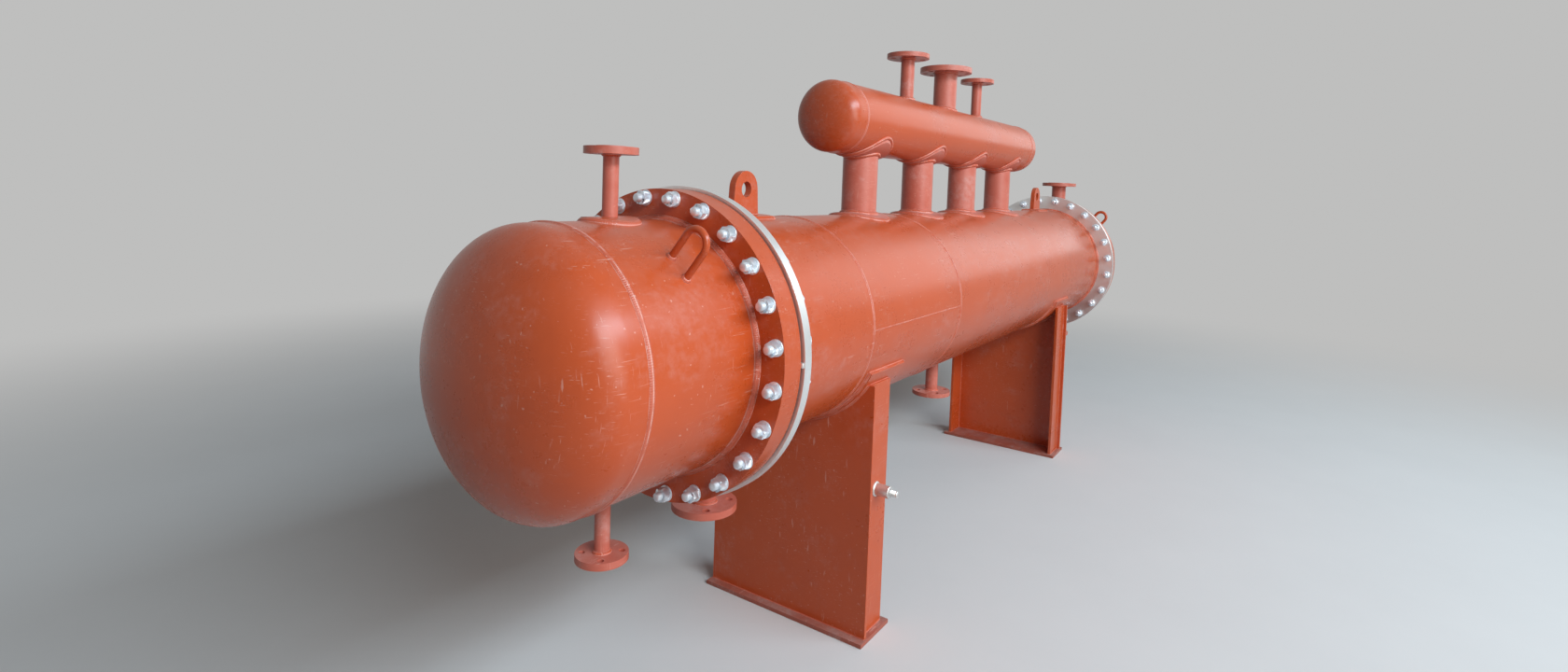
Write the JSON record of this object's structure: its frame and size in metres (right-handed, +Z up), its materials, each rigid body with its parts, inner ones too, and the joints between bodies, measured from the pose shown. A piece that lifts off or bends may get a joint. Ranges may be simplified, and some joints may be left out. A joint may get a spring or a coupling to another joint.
{
  "type": "shell and tube heat exchanger",
  "caption": "Horizontal shell and tube heat exchanger on two saddles, with bolted end channels, flanged nozzles and a pipe header on risers above its shell.",
  "frame": {"origin": "on the floor, under the middle of the shell", "axes": "+X along the shell from the front channel to the rear one, +Z up, handles on the -Y side"},
  "size_m": [4.147, 0.73, 1.743],
  "materials": {
    "red_primer": "semi-gloss red oxide primer",
    "bare_steel": "machined, unpainted",
    "zinc_plate": "zinc plated",
    "gasket": "matt dark fibre",
    "stainless": "brushed stainless"
  },
  "bodies": {
    "root": {"front_channel_head": "red_primer", "front_channel_barrel": "red_primer", "front_channel_flange": "red_primer", "front_channel_necks": "red_primer", "front_channel_nozzle_flanges": "red_primer", "front_vent_pad": "red_primer", "shell_course_front": "red_primer", "shell_course_middle": "red_primer", "shell_course_rear": "red_primer", "shell_nozzle_necks": "red_primer", "shell_nozzle_flanges": "red_primer", "lifting_lugs": "red_primer", "lifting_lug_pads": "red_primer", "channel_handles": "red_primer", "rear_channel_flange": "red_primer", "rear_channel_barrel": "red_primer", "rear_channel_head": "red_primer", "rear_channel_necks": "red_primer", "rear_channel_nozzle_flanges": "red_primer", "riser_1": "red_primer", "riser_2": "red_primer", "riser_3": "red_primer", "riser_4": "red_primer", "riser_shell_pads": "red_primer", "riser_header_pads": "red_primer", "header_pipe": "red_primer", "header_cap_front": "red_primer", "header_cap_rear": "red_primer", "header_nozzle_necks": "red_primer", "header_nozzle_flanges": "red_primer", "front_saddle_base": "red_primer", "front_saddle_web": "red_primer", "front_saddle_ribs": "red_primer", "front_wear_pad": "red_primer", "rear_saddle_base": "red_primer", "rear_saddle_web": "red_primer", "rear_saddle_ribs": "red_primer", "rear_wear_pad": "red_primer", "front_tube_sheet": "bare_steel", "rear_tube_sheet": "bare_steel", "front_gasket": "gasket", "rear_gasket": "gasket", "front_stud_bolts": "zinc_plate", "rear_stud_bolts": "zinc_plate", "earthing_boss": "stainless"}
  },
  "joints": []
}
